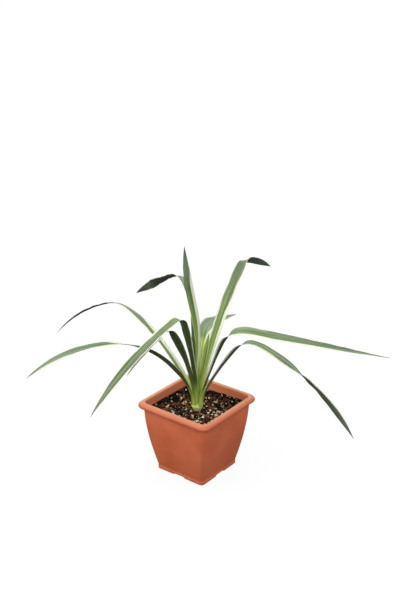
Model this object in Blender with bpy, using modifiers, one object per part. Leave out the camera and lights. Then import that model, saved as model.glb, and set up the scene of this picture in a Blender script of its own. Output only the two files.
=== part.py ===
"""A young potted yucca: a square moulded plastic pot, its soil, a short stem and eleven arching leaves.

Everything is in metres with +Z up. The origin is the middle of the pot's base, on the ground, and X and Y
run along the pot's sides. Each piece is one closed solid of its own, a little clear of what it touches.
"""

from collections import namedtuple

import bmesh
import bpy
import numpy as np

# Clearance between pieces that touch, and the extra left inside the leaf bases, whose arcs are faceted
GAP = 0.0003
FACET_GAP = 0.00015

# Pot: rim, body and foot widths are half widths, measured from the pot's axis to the middle of a side
POT_HEIGHT = 0.130
RIM_HALF = 0.075
RIM_RISE = 0.0065
RIM_DROP = 0.0045
BODY_TOP_HALF = 0.067
BODY_FOOT_HALF = 0.0494
FOOT_HALF = 0.0500
FOOT_HEIGHT = 0.0055
WALL = 0.0022
FLOOR_UNDERSIDE = 0.0034
BELLY = 1.6
FOOT_CORNER = 0.007
BODY_CORNER = 0.011
RIM_CORNER = 0.014
BODY_LEVELS = 10
ROLL_POINTS = 9
LIP_POINTS = 4
CORNER_POINTS = 7
EDGE_ROUND = 0.0005

# Cuts in the pot's foot and floor
NOTCH_WIDTH = 0.026
NOTCH_TOP_WIDTH = 0.022
NOTCH_HEIGHT = 0.0026
DRAIN_RADIUS = 0.004
DRAIN_SPREAD = 0.024
DRAIN_SIDES = 12

# Soil: its level at the stem and at the pot's wall, and the clods that roughen its top
SOIL_LEVEL = 0.110
SOIL_EDGE_LEVEL = 0.1155
SOIL_RINGS = 15
SOIL_SIDE_POINTS = 7
SOIL_BOTTOM_ROUND = 0.0015
CLOD_SPACING = 0.0105
CLOD_HEIGHT = 0.0032
CLOD_SEED = 7

# Stem: its place in the pot and its sizes
STEM_X = 0.005
STEM_Y = -0.0055
STEM_RADIUS = 0.006
STEM_DEPTH = 0.050
STEM_SIDES = 24
STEM_END_ROUND = 0.002
STEM_TOP_RISE = 0.001

# Leaf bases sit round the stem in rings, numbered from the middle outwards
RINGS = 6
RING_RADIUS = 0.0026
RING_PITCH = 0.00138
RING_START = 0.012
RING_STEP = 0.0025
RING_CLASP = {1: 66, 2: 62, 3: 57, 4: 50, 5: 44, 6: 38}

# Leaf blade: thickness, the share of its length where it is widest, and how its channel opens
THICKNESS = 0.0008
TIP_WIDTH = 0.0014
WIDEST_FROM = 0.42
WIDEST_TO = 0.72
TAPER = 2.0
BEND_OUT = 0.035
CHANNEL_LENGTH = 0.12
CHANNEL_OPEN = 26
CHANNEL_TIP = 12
LEAF_ROWS = 28
LEAF_COLUMNS = 4
STEPS_PER_ROW = 8

# One row per leaf. heading is the direction it leans to, counted from +X towards +Y. launch is its climb when
# it leaves the stem. droop is the sag spread over its length. fold is a sharper bend, fold_at and fold_span
# say where along the leaf it lies. swerve turns the heading towards the tip. rolls twist the blade about its
# own length, as pairs of place and angle. Angles are in degrees, lengths in metres, places from 0 to 1.
Leaf = namedtuple("Leaf", "ring heading length width launch droop fold fold_at fold_span swerve rolls")
LEAVES = {
    "leaf_heart": Leaf(1, 32, 0.1235, 0.012, 80.7, 0, 0, 0.5, 0.5, 0, ((0.1, 0), (0.5, 50))),
    "leaf_upright": Leaf(
        2, -168, 0.274, 0.018, 90, -28, 29, 0.477, 0.466, 0, ((0.35, 0), (0.6, -19), (1, -25))
    ),
    "leaf_front_tall": Leaf(
        3, -81.7, 0.4124, 0.0165, 81.3, 55.3, 70, 0.4345, 0.108, -16.7,
        ((0.05, 0), (0.2, -20), (0.34, -1), (0.5, -1.4), (1, -4.6)),
    ),
    "leaf_back_tall": Leaf(
        3, 147.4, 0.506, 0.0186, 87.1, 12.6, 106.4, 0.391, 0.3345, 4.8,
        ((0.15, 0), (0.35, 27), (0.62, 13.5), (0.74, 33), (0.84, 87), (1, 58.5)),
    ),
    "leaf_front_short": Leaf(
        4, -95.7, 0.2655, 0.0145, 77.3, 40.2, 88.9, 0.6235, 0.108, -24.6,
        ((0.05, 0), (0.3, 3), (0.5, 36.5), (0.7, 5), (1, 0)),
    ),
    "leaf_right_tall": Leaf(
        4, 91, 0.347, 0.0205, 66.3, 31, 65, 0.735, 0.06, -1, ((0.68, 0), (0.8, -43), (1, -70))
    ),
    "leaf_left": Leaf(
        5, -121, 0.358, 0.015, 63.6, 69, 26, 0.39, 0.60, 9,
        ((0.08, 0), (0.22, 35), (0.42, 35), (0.49, 21), (0.64, -15), (1, -25)),
    ),
    "leaf_back": Leaf(
        5, 119, 0.356, 0.0255, 59.5, -2, 78, 0.342, 0.33, -16,
        ((0.08, 0), (0.22, -44), (0.45, 32), (0.7, 9), (1, -3)),
    ),
    "leaf_right": Leaf(
        5, 10.7, 0.42, 0.0163, 71.7, 16.5, 70.7, 0.371, 0.196, 40.5,
        ((0, 0), (0.2, -8.4), (0.32, -23.3), (0.4, 40.5), (1, -3.8)),
    ),
    "leaf_back_left": Leaf(6, 176, 0.377, 0.014, 52.4, 70, 34, 0.60, 0.15, 34, ((0.45, 0), (0.62, 22))),
    "leaf_front_right": Leaf(
        6, 9.9, 0.396, 0.0161, 63.7, 50.3, 65.5, 0.411, 0.166, -10,
        ((0, 0), (0.08, -7), (0.35, -19), (0.41, 4), (0.59, 11), (0.73, -58.5), (1, -118.5)),
    ),
}


def clear_scene():
    """Removes whatever the file held before."""
    for obj in list(bpy.data.objects):
        bpy.data.objects.remove(obj, do_unlink=True)


def make_collection(name, hidden=False):
    """A new collection in the scene. The one for cutters is left out of a render."""
    group = bpy.data.collections.new(name)
    group.hide_render = hidden
    bpy.context.scene.collection.children.link(group)
    return group


def make_material(name, color, roughness):
    """A plain Principled material."""
    material = bpy.data.materials.new(name)
    material.use_nodes = True
    shader = material.node_tree.nodes["Principled BSDF"]
    shader.inputs["Base Color"].default_value = (*color, 1.0)
    shader.inputs["Roughness"].default_value = roughness
    shader.inputs["Metallic"].default_value = 0.0
    return material


def add_object(name, bm, group, material=None):
    """Turns a bmesh into a named object in a collection."""
    mesh = bpy.data.meshes.new(name)
    bm.to_mesh(mesh)
    bm.free()
    obj = bpy.data.objects.new(name, mesh)
    group.objects.link(obj)
    if material is not None:
        mesh.materials.append(material)
        mesh.shade_smooth()
        mesh.set_sharp_from_angle(angle=np.radians(35))
    return obj


def ease(x):
    """Rises smoothly from 0 to 1 while x goes from 0 to 1."""
    x = np.clip(x, 0.0, 1.0)
    return x * x * (3.0 - 2.0 * x)


def loft(rings):
    """A closed solid through rings that all have the same number of points, with both ends capped."""
    bm = bmesh.new()
    loops = [[bm.verts.new(point) for point in ring] for ring in rings]
    count = len(loops[0])
    for below, above in zip(loops[:-1], loops[1:]):
        for i in range(count):
            j = (i + 1) % count
            bm.faces.new((below[i], below[j], above[j], above[i]))
    for ring in (loops[0], loops[-1]):
        bm.faces.new(ring)
    bmesh.ops.recalc_face_normals(bm, faces=bm.faces)
    return bm


def rounded_square(half, radius, height, side_points=0):
    """Points round a square with round corners, at one height, with extra points along its straight sides."""
    corner = half - radius
    turn = np.linspace(0.0, np.pi / 2, CORNER_POINTS)
    arc = np.column_stack([corner + radius * np.cos(turn), corner + radius * np.sin(turn)])
    along = np.linspace(corner, -corner, side_points + 2)[1:-1]
    side = np.column_stack([along, np.full(side_points, half)])
    quarter = np.vstack([arc, side])
    quarters = []
    for quarter_turn in range(4):
        a = quarter_turn * np.pi / 2
        spin = np.array([[np.cos(a), np.sin(a)], [-np.sin(a), np.cos(a)]])
        quarters.append(quarter @ spin)
    ring = np.vstack(quarters)
    return np.column_stack([ring, np.full(len(ring), height)])


def rim_bottom():
    """Height of the rim's underside."""
    return POT_HEIGHT - RIM_RISE - RIM_DROP


def body_half(z):
    """Half width of the pot's body at height z: it swells quickly above the foot and slowly near the rim."""
    t = np.clip((z - FOOT_HEIGHT) / (rim_bottom() - FOOT_HEIGHT), 0.0, 1.0)
    return BODY_TOP_HALF - (BODY_TOP_HALF - BODY_FOOT_HALF) * (1.0 - t) ** BELLY


def body_corner(z):
    """Corner radius of the pot's body at height z."""
    return FOOT_CORNER + (BODY_CORNER - FOOT_CORNER) * z / POT_HEIGHT


def body_levels():
    """Heights of the rings that carry the body's curve, from the foot to the underside of the rim."""
    return np.linspace(FOOT_HEIGHT, rim_bottom(), BODY_LEVELS + 1)


def soil_half(z):
    """Half width of the soil at height z: a gap inside the straight facets of the pot's inner wall."""
    levels = body_levels()
    return np.interp(z, levels, body_half(levels)) - WALL - GAP


def pot_rings():
    """The pot's outline carried round its rounded square: under the floor, up the outside, down the inside.

    The rim is half an ellipse that stands out from the body, with its ridge over the body's outer face. Its
    upper quarter is taller than its lower one. From the ridge a round as wide as the wall leads inwards.
    """
    rim_middle = POT_HEIGHT - RIM_RISE
    rim_width = RIM_HALF - BODY_TOP_HALF
    edge = EDGE_ROUND
    foot_inner = FOOT_HALF - WALL - 2 * edge
    rows = [
        (foot_inner - 4 * edge, FOOT_CORNER - WALL, FLOOR_UNDERSIDE),
        (foot_inner, FOOT_CORNER - WALL, 0.0),
        (FOOT_HALF - 3 * edge, FOOT_CORNER, 0.0),
        (FOOT_HALF - 2 * edge, FOOT_CORNER, edge),
        (FOOT_HALF, FOOT_CORNER, FOOT_HEIGHT - edge),
        (BODY_FOOT_HALF, FOOT_CORNER, FOOT_HEIGHT + edge),
    ]
    levels = body_levels()[1:]
    rows += [(body_half(z), body_corner(z), z) for z in levels]
    for a in np.linspace(-np.pi / 2, np.pi / 2, ROLL_POINTS)[1:]:
        out = np.cos(a)
        corner = BODY_CORNER + (RIM_CORNER - BODY_CORNER) * out
        rise = RIM_RISE if a > 0 else RIM_DROP
        rows.append((BODY_TOP_HALF + rim_width * out, corner, rim_middle + rise * np.sin(a)))
    for a in np.linspace(0.0, np.pi / 2, LIP_POINTS)[1:]:
        inward = WALL * np.sin(a)
        rows.append((BODY_TOP_HALF - inward, BODY_CORNER - inward, POT_HEIGHT - WALL * (1 - np.cos(a))))
    rows += [(body_half(z) - WALL, body_corner(z) - WALL, z) for z in levels[::-1]]
    floor_top = FLOOR_UNDERSIDE + WALL
    rows.append((body_half(floor_top) - WALL, FOOT_CORNER - WALL, floor_top + 2 * edge))
    rows.append((body_half(floor_top) - WALL - 2 * edge, FOOT_CORNER - WALL, floor_top))
    return [rounded_square(half, corner, z) for half, corner, z in rows]


def make_notch_cutter(name, group, turned):
    """A long low wedge that cuts the notch in the foot on two opposite sides of the pot."""
    bm = bmesh.new()
    bmesh.ops.create_cube(bm, size=1.0)
    length = 3 * FOOT_HALF
    for vert in bm.verts:
        width = NOTCH_TOP_WIDTH if vert.co.z > 0 else NOTCH_WIDTH
        across = vert.co.y * width
        along = vert.co.x * length
        vert.co.x, vert.co.y = (across, along) if turned else (along, across)
        vert.co.z = NOTCH_HEIGHT if vert.co.z > 0 else -NOTCH_HEIGHT
    bmesh.ops.recalc_face_normals(bm, faces=bm.faces)
    cutter = add_object(name, bm, group)
    cutter.hide_render = True
    cutter.display_type = "WIRE"
    return cutter


def make_drain_cutter(name, group, x, y):
    """A short rod that cuts one drain hole in the floor."""
    bm = bmesh.new()
    bmesh.ops.create_cone(
        bm, cap_ends=True, segments=DRAIN_SIDES, radius1=DRAIN_RADIUS, radius2=DRAIN_RADIUS, depth=4 * WALL
    )
    bmesh.ops.translate(bm, verts=bm.verts, vec=(x, y, FLOOR_UNDERSIDE + WALL / 2))
    cutter = add_object(name, bm, group)
    cutter.hide_render = True
    cutter.display_type = "WIRE"
    return cutter


def make_pot(group, cutters, material):
    """The pot with its notched foot and its drain holes."""
    pot = add_object("pot", loft(pot_rings()), group, material)
    tools = [make_notch_cutter(f"notch_{turned}", cutters, turned) for turned in (0, 1)]
    for i in range(4):
        a = np.pi / 4 + i * np.pi / 2
        x, y = DRAIN_SPREAD * np.cos(a), DRAIN_SPREAD * np.sin(a)
        tools.append(make_drain_cutter(f"drain_{i}", cutters, x, y))
    tools.append(make_drain_cutter("drain_middle", cutters, 0.0, 0.0))
    for tool in tools:
        cut = pot.modifiers.new(tool.name, "BOOLEAN")
        cut.operation = "DIFFERENCE"
        cut.solver = "EXACT"
        cut.object = tool
    return pot


def clods(x, y):
    """Height of the soil's clods over a point: the tallest of many round lumps on a jittered grid."""
    rng = np.random.default_rng(CLOD_SEED)
    reach = int(RIM_HALF / CLOD_SPACING) + 1
    cells = np.arange(-reach, reach + 1) * CLOD_SPACING
    cx, cy = np.meshgrid(cells, cells)
    cx = cx + rng.uniform(-0.4, 0.4, cx.shape) * CLOD_SPACING
    cy = cy + rng.uniform(-0.4, 0.4, cy.shape) * CLOD_SPACING
    radius = rng.uniform(0.45, 0.85, cx.shape) * CLOD_SPACING
    height = rng.uniform(0.3, 1.0, cx.shape) * CLOD_HEIGHT
    distance = np.hypot(x[:, None] - cx.ravel(), y[:, None] - cy.ravel()) / radius.ravel()
    lumps = height.ravel() * np.sqrt(np.clip(1.0 - distance**2, 0.0, 1.0))
    return lumps.max(axis=1)


def make_soil(group, material):
    """The soil: it fills the pot to its level, has clods on top and a plain round hole for the stem."""
    inset = WALL + GAP
    edge_corner = body_corner(SOIL_EDGE_LEVEL) - inset
    outer = rounded_square(soil_half(SOIL_EDGE_LEVEL), edge_corner, SOIL_EDGE_LEVEL, SOIL_SIDE_POINTS)
    facing = np.arctan2(outer[:, 1] - STEM_Y, outer[:, 0] - STEM_X)
    reach = STEM_RADIUS + GAP
    hole = np.column_stack(
        [STEM_X + reach * np.cos(facing), STEM_Y + reach * np.sin(facing), np.full(len(outer), SOIL_LEVEL)]
    )
    hole_bottom = hole.copy()
    hole_bottom[:, 2] = SOIL_LEVEL - STEM_DEPTH - GAP
    rings = [hole_bottom]
    for share in np.linspace(0.0, 1.0, SOIL_RINGS):
        ring = hole + (outer - hole) * share
        free = ease(share / 0.15) * ease((1.0 - share) / 0.08)
        ring[:, 2] += clods(ring[:, 0], ring[:, 1]) * free
        rings.append(ring)
    bottom = FLOOR_UNDERSIDE + WALL + 2 * GAP
    buried = [z for z in body_levels()[::-1] if bottom + SOIL_BOTTOM_ROUND < z < SOIL_EDGE_LEVEL]
    for z in buried:
        rings.append(rounded_square(soil_half(z), body_corner(z) - inset, z, SOIL_SIDE_POINTS))
    bottom_half = soil_half(bottom) - SOIL_BOTTOM_ROUND
    rings.append(rounded_square(bottom_half, FOOT_CORNER - inset, bottom, SOIL_SIDE_POINTS))
    return add_object("soil", loft(rings), group, material)


def ring_radius(ring):
    """Distance from the stem's axis to the middle of the leaf bases in a ring."""
    return RING_RADIUS + RING_PITCH * (ring - 1)


def ring_height(ring):
    """Height where the leaves of a ring start: inner rings start higher on the stem."""
    return SOIL_LEVEL + RING_START + RING_STEP * (RINGS - ring)


def make_stem(group, material):
    """The stem: a turned solid with a plug in the soil, a swelling above it and a shoulder for each ring."""
    swell = ring_radius(RINGS) + THICKNESS / 2
    inset = THICKNESS / 2 + GAP + FACET_GAP
    profile = [(0.0, ring_height(1) + STEM_TOP_RISE), (ring_radius(1) - inset, ring_height(1))]
    profile.append((ring_radius(1) - inset, ring_height(1) - GAP))
    for ring in range(1, RINGS):
        core = ring_radius(ring + 1) - inset
        profile.append((core, ring_height(ring) - GAP))
        profile.append((core, ring_height(ring + 1) - GAP))
    profile.append((swell, ring_height(RINGS) - GAP))
    top = ring_height(RINGS) - GAP
    for share in (0.25, 0.5, 0.75, 1.0):
        radius = swell + (STEM_RADIUS - swell) * ease(share)
        profile.append((radius, top + (SOIL_LEVEL - top) * share))
    bottom = SOIL_LEVEL - STEM_DEPTH
    profile.append((STEM_RADIUS, bottom + STEM_END_ROUND))
    profile.append((STEM_RADIUS - STEM_END_ROUND, bottom))
    profile.append((0.0, bottom))
    bm = bmesh.new()
    verts = [bm.verts.new((radius, 0.0, z)) for radius, z in profile]
    for above, below in zip(verts[:-1], verts[1:]):
        bm.edges.new((above, below))
    stem = add_object("stem", bm, group, material)
    stem.location = (STEM_X, STEM_Y, 0.0)
    turn = stem.modifiers.new("turn", "SCREW")
    turn.steps = STEM_SIDES
    turn.render_steps = STEM_SIDES
    turn.use_merge_vertices = True
    turn.merge_threshold = 0.00001
    return stem


def follow_keys(places, keys):
    """A value along the leaf that moves smoothly from each key to the next."""
    value = np.full(places.shape, float(keys[0][1]))
    for (start, before), (end, after) in zip(keys[:-1], keys[1:]):
        value += (after - before) * ease((places - start) / (end - start))
    return value


def leaf_spine(leaf, rows):
    """Points down the middle of a leaf with the directions along it, across it and out of its upper face.

    The climb starts straight up, opens to the launch angle, sags with the power 1.5 of the place and takes the
    fold as one eased step. The points are the running sum of the directions.
    """
    s = np.linspace(0.0, leaf.length, rows * STEPS_PER_ROW + 1)
    u = s / leaf.length
    climb = 90 - (90 - leaf.launch) * ease(s / BEND_OUT) - leaf.droop * u**1.5
    climb = np.radians(climb - leaf.fold * ease((u - leaf.fold_at) / leaf.fold_span + 0.5))
    turn = np.radians(leaf.heading + leaf.swerve * u**2)
    level = np.cos(climb)
    along = np.column_stack([level * np.cos(turn), level * np.sin(turn), np.sin(climb)])
    steps = (along[1:] + along[:-1]) / 2 * s[1]
    base = np.radians(leaf.heading)
    start = np.array([STEM_X, STEM_Y, 0.0])
    start += np.array([np.cos(base), np.sin(base), 0.0]) * ring_radius(leaf.ring)
    start[2] = ring_height(leaf.ring)
    points = start + np.vstack([np.zeros(3), np.cumsum(steps, axis=0)])
    across = np.column_stack([-np.sin(turn), np.cos(turn), np.zeros(len(turn))])
    upward = np.cross(along, across)
    roll = np.radians(follow_keys(u, leaf.rolls))[:, None]
    rolled_across = across * np.cos(roll) + upward * np.sin(roll)
    rolled_upward = upward * np.cos(roll) - across * np.sin(roll)
    pick = slice(None, None, STEPS_PER_ROW)
    return s[pick], points[pick], rolled_across[pick], rolled_upward[pick]


def leaf_surface(leaf, rows, columns):
    """The leaf's middle surface on a grid of rows along it and columns across it.

    Each cross-section is an arc. At the base it is centred on the stem, and it opens into a shallow channel.
    """
    s, points, across, upward = leaf_spine(leaf, rows)
    u = s / leaf.length
    clasp = np.radians(RING_CLASP[leaf.ring])
    base_width = 2 * ring_radius(leaf.ring) * clasp
    grow = base_width + (leaf.width - base_width) * ease(u / WIDEST_FROM)
    taper = 1 - np.clip((u - WIDEST_TO) / (1 - WIDEST_TO), 0.0, 1.0) ** TAPER
    width = np.maximum(grow * taper, TIP_WIDTH)[:, None]
    blade = np.radians(CHANNEL_OPEN + (CHANNEL_TIP - CHANNEL_OPEN) * u)
    angle = (blade + (clasp - blade) * (1 - ease(s / CHANNEL_LENGTH)))[:, None]
    v = np.linspace(-1.0, 1.0, columns + 1)[None, :]
    aside = width / 2 * np.sin(angle * v) / angle
    lift = width / 2 * (1 - np.cos(angle * v)) / angle
    return points[:, None] + across[:, None] * aside[..., None] + upward[:, None] * lift[..., None]


def make_leaf(name, leaf, group, material):
    """One leaf: a grid bent to the leaf's surface, split into triangles and given its thickness."""
    bm = bmesh.new()
    bmesh.ops.create_grid(bm, x_segments=LEAF_COLUMNS, y_segments=LEAF_ROWS, size=0.5)
    bm.verts.ensure_lookup_table()
    surface = leaf_surface(leaf, LEAF_ROWS, LEAF_COLUMNS)
    for vert in bm.verts:
        row = round((vert.co.y + 0.5) * LEAF_ROWS)
        column = round((vert.co.x + 0.5) * LEAF_COLUMNS)
        vert.co = surface[row, column]
    bmesh.ops.triangulate(bm, faces=bm.faces, quad_method="FIXED")
    obj = add_object(name, bm, group, material)
    body = obj.modifiers.new("thickness", "SOLIDIFY")
    body.thickness = THICKNESS
    body.offset = 0.0
    body.use_rim = True
    return obj


def main():
    clear_scene()
    parts = make_collection("potted_yucca")
    cutters = make_collection("cutters", hidden=True)
    plastic = make_material("terracotta_plastic", (0.46, 0.125, 0.055), 0.45)
    earth = make_material("potting_soil", (0.035, 0.024, 0.018), 0.95)
    stalk = make_material("stem_skin", (0.50, 0.56, 0.22), 0.5)
    green = make_material("leaf_blade", (0.13, 0.25, 0.08), 0.4)
    make_pot(parts, cutters, plastic)
    make_soil(parts, earth)
    make_stem(parts, stalk)
    for name, leaf in LEAVES.items():
        make_leaf(name, leaf, parts, green)


main()
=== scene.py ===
# %% [markdown]
# # A young potted yucca
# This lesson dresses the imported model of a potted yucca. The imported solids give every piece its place, and
# the cells below put a finely made piece over each of them: the moulded pot, the loose soil with its bark and
# grit, the short stem and eleven arching striped leaves. All sizes are in metres, +Z is up, and the origin is
# the middle of the pot's base.

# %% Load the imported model
from collections import namedtuple

import bpy
import numpy as np
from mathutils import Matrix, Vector


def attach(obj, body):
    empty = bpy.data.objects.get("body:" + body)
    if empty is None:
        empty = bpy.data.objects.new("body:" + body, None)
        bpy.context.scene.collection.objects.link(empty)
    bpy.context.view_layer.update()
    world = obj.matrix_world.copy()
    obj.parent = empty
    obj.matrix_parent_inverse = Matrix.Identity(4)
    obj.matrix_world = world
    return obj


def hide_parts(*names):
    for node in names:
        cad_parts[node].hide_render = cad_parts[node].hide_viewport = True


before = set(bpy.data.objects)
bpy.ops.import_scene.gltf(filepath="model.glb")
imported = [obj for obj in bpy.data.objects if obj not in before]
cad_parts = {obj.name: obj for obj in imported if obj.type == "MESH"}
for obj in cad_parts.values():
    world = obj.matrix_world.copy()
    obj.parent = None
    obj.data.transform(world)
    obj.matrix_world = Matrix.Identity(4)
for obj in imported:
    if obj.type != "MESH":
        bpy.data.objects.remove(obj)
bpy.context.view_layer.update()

print("packed nodes:", ", ".join(sorted(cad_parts)))

# %% [markdown]
# ## The camera
# The photograph was taken from above and a little to the right of the pot's corner. A camera can be placed
# by eye, but a leaf that is a few millimetres wide then soon lies beside its place in the picture. Here its
# place was worked out from the corners of the pot, whose shape is known, so only the numbers are needed.

# %% Camera
CAMERA_PLACE = (0.93124, -1.19347, 0.93281)
CAMERA_TARGET = (0.00476, 0.00368, 0.31171)
LENS_MM = 60.0
SENSOR_MM = 36.0

camera_data = bpy.data.cameras.new("camera")
camera_data.sensor_fit = "VERTICAL"
camera_data.sensor_height = SENSOR_MM
camera_data.lens = LENS_MM
camera_data.clip_end = 100.0
camera = bpy.data.objects.new("camera", camera_data)
camera.location = CAMERA_PLACE
looking = Vector(CAMERA_TARGET) - Vector(CAMERA_PLACE)
camera.rotation_euler = looking.to_track_quat("-Z", "Y").to_euler()
bpy.context.scene.collection.objects.link(camera)
bpy.context.scene.camera = camera
print("camera", round(looking.length, 3), "m from its target")

# %% [markdown]
# ## Helpers for surfaces
# Every new piece is a grid of points worked out with numpy. One function turns such a grid into a mesh: it
# joins each point to its neighbours with four-sided faces, which makes a tube, and closes both ends with a
# fan of triangles round one extra point, so that nothing stays open.

# %% Grid to mesh
def grid_faces(rows, columns):
    """Faces of a tube: each point joins to the next row and column, and the last column to the first."""
    index = np.arange(rows * columns).reshape(rows, columns)
    after = np.roll(index, -1, axis=1)
    quads = np.stack([index[:-1], after[:-1], after[1:], index[1:]], axis=-1)
    return quads.reshape(-1, 4)


def fan_faces(ring, pole):
    """Triangles from each edge of a ring of points to one pole."""
    return np.column_stack([ring, np.roll(ring, -1), np.full(len(ring), pole)])


def tube_mesh(name, points, first_pole, last_pole, smooth=True):
    """A closed mesh from rings of points, points[row, column], with a pole at each end."""
    rows, columns = points.shape[:2]
    count = rows * columns
    verts = np.vstack([points.reshape(-1, 3), [first_pole], [last_pole]])
    quads = grid_faces(rows, columns)
    first = fan_faces(np.arange(columns)[::-1], count)
    last = fan_faces(np.arange(count - columns, count), count + 1)
    mesh = bpy.data.meshes.new(name)
    mesh.from_pydata(verts.tolist(), [], quads.tolist() + first.tolist() + last.tolist())
    if signed_volume(mesh) < 0:
        mesh.flip_normals()
    if smooth:
        mesh.shade_smooth()
    return mesh


def signed_volume(mesh):
    """Volume inside a closed mesh, negative if it is inside out.

    It is a sixth of the sum of a . (b x c) over the triangles with the corners a, b and c.
    """
    mesh.calc_loop_triangles()
    corners = np.empty(len(mesh.loop_triangles) * 3, np.int32)
    mesh.loop_triangles.foreach_get("vertices", corners)
    places = np.empty(len(mesh.vertices) * 3, np.float32)
    mesh.vertices.foreach_get("co", places)
    a, b, c = places.reshape(-1, 3)[corners.reshape(-1, 3)].transpose(1, 0, 2).astype(float)
    return np.einsum("ij,ij->", a, np.cross(b, c)) / 6


def store(mesh, name, values):
    """Keeps one number for each point of the mesh under a name that a material can read."""
    attribute = mesh.attributes.new(name, "FLOAT", "POINT")
    attribute.data.foreach_set("value", np.asarray(values, np.float32))


def put_in(name, mesh, slot, material, *nodes):
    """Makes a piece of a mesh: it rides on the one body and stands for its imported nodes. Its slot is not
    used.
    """
    piece = bpy.data.objects.new(name, mesh)
    bpy.context.scene.collection.objects.link(piece)
    mesh.materials.append(material)
    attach(piece, "root")
    if nodes:
        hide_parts(*nodes)
    print(f"{name}: {len(mesh.vertices)} points, {len(mesh.polygons)} faces")


def ease(x):
    """Rises smoothly from 0 to 1 while x goes from 0 to 1: 3 x squared less 2 x cubed."""
    x = np.clip(x, 0.0, 1.0)
    return x * x * (3.0 - 2.0 * x)


# %% [markdown]
# ## Helpers for materials
# A finish is a small graph of nodes. These helpers add a node and join its inputs in one call, and turn a
# colour as a screen shows it into the linear numbers that the shader works with.

# %% Node helpers
def screen(red, green, blue):
    """A colour given as on a screen, 0 to 255, as linear numbers from 0 to 1."""
    value = np.array([red, green, blue]) / 255.0
    linear = np.where(value <= 0.04045, value / 12.92, ((value + 0.055) / 1.055) ** 2.4)
    return (*linear.tolist(), 1.0)


def gray(level):
    """A neutral colour, from 0 for black to 1 for white, in linear numbers."""
    return (level, level, level, 1.0)


def join(tree, node, **inputs):
    """Sets or joins the inputs of a node by name, with _ for a space, or by place as in0 and in1."""
    for key, value in inputs.items():
        place = int(key[2:]) if key[:2] == "in" and key[2:].isdigit() else key.replace("_", " ")
        socket = node.inputs[place]
        if isinstance(value, bpy.types.NodeSocket):
            tree.links.new(value, socket)
        else:
            socket.default_value = value


def add(tree, kind, output=0, settings=None, **inputs):
    """Adds a node with its settings and inputs and gives back one output."""
    node = tree.nodes.new("ShaderNode" + kind)
    for key, value in (settings or {}).items():
        setattr(node, key, value)
    join(tree, node, **inputs)
    return node.outputs[output]


def math(tree, operation, a, b=0.0):
    """One operation of the Math node."""
    return add(tree, "Math", settings={"operation": operation}, in0=a, in1=b)


def times(tree, a, b):
    """The product of two numbers."""
    return math(tree, "MULTIPLY", a, b)


def plus(tree, a, b):
    """The sum of two numbers."""
    return math(tree, "ADD", a, b)


def mix(tree, share, a, b):
    """A mix of two colours: share 0 gives a and 1 gives b."""
    return add(tree, "Mix", output=2, settings={"data_type": "RGBA"}, in0=share, in6=a, in7=b)


def step(tree, value, start, end):
    """Rises smoothly from 0 to 1 while value goes from start to end."""
    settings = {"interpolation_type": "SMOOTHSTEP"}
    return add(tree, "MapRange", settings=settings, Value=value, From_Min=start, From_Max=end)


def noise(tree, vector, scale, detail=2.0, roughness=0.5):
    """Smooth random numbers, mostly from 0.3 to 0.7, scale lumps to the unit of the vector."""
    return add(tree, "TexNoise", Vector=vector, Scale=scale, Detail=detail, Roughness=roughness)


def read(tree, name):
    """The number that a mesh keeps under a name."""
    return add(tree, "Attribute", output=2, settings={"attribute_name": name})


def new_material(name):
    """An empty finish with its Principled shader: gives back the material, its tree and the shader."""
    material = bpy.data.materials.new(name)
    material.use_nodes = True
    tree = material.node_tree
    return material, tree, tree.nodes["Principled BSDF"]


def bump(tree, shader, height, distance):
    """Dents the shading of a surface by up to a distance in metres, without moving its points."""
    join(tree, shader, Normal=add(tree, "Bump", Height=height, Distance=distance, Strength=1.0))


print("half gray on a screen is", round(screen(128, 128, 128)[0], 3), "in linear numbers")

# %% [markdown]
# ## The floor and the light
# The plant was photographed under a bright open sky. A plain white room would throw light up from its floor
# and wash out what is dark in the picture, such as the undersides of the leaves and the lower half of the
# pot. So the sky is white down to just below the horizon and nearly dark under that, and the pale floor glows
# by itself but gives no light to the plant. One large soft light from the front left is a little warmer, and
# makes the left side of the pot lighter than the right side.

# %% Floor, sky and lights
FLOOR_HALF = 60.0
FLOOR_SHADE = 0.07
FLOOR_GLOW = 0.93
SKY_COLOR = (0.97, 0.985, 1.0, 1.0)
SKY_STRENGTH = 1.12
SKY_ENDS = -0.015
GROUND_STARTS = -0.045
GROUND_SHARE = 0.06
KEY_PLACE = (-1.2, -2.0, 2.6)
KEY_TARGET = (0.0, 0.0, 0.15)
KEY_SIZE = 1.6
KEY_WATTS = 32.0
KEY_COLOR = (1.0, 0.95, 0.86)

scene = bpy.context.scene
scene.view_settings.view_transform = "Standard"
floor_mesh = bpy.data.meshes.new("floor")
corners = np.array([(-1, -1, 0), (1, -1, 0), (1, 1, 0), (-1, 1, 0)]) * FLOOR_HALF
floor_mesh.from_pydata(corners.tolist(), [], [(0, 1, 2, 3)])
floor = bpy.data.objects.new("floor", floor_mesh)
scene.collection.objects.link(floor)
floor.visible_diffuse = False
floor.visible_glossy = False
floor_material, tree, shader = new_material("pale_floor")
join(tree, shader, Base_Color=gray(FLOOR_SHADE), Roughness=0.9, Specular_IOR_Level=0.0)
join(tree, shader, Emission_Color=gray(1.0), Emission_Strength=FLOOR_GLOW)
floor_mesh.materials.append(floor_material)

world = bpy.data.worlds.new("sky")
scene.world = world
world.use_nodes = True
tree = world.node_tree
upward = add(tree, "SeparateXYZ", output=2, Vector=add(tree, "TexCoord", output="Generated"))
above = step(tree, upward, GROUND_STARTS, SKY_ENDS)
sky = mix(tree, above, gray(GROUND_SHARE), SKY_COLOR)
join(tree, tree.nodes["Background"], Color=sky, Strength=SKY_STRENGTH)

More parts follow.
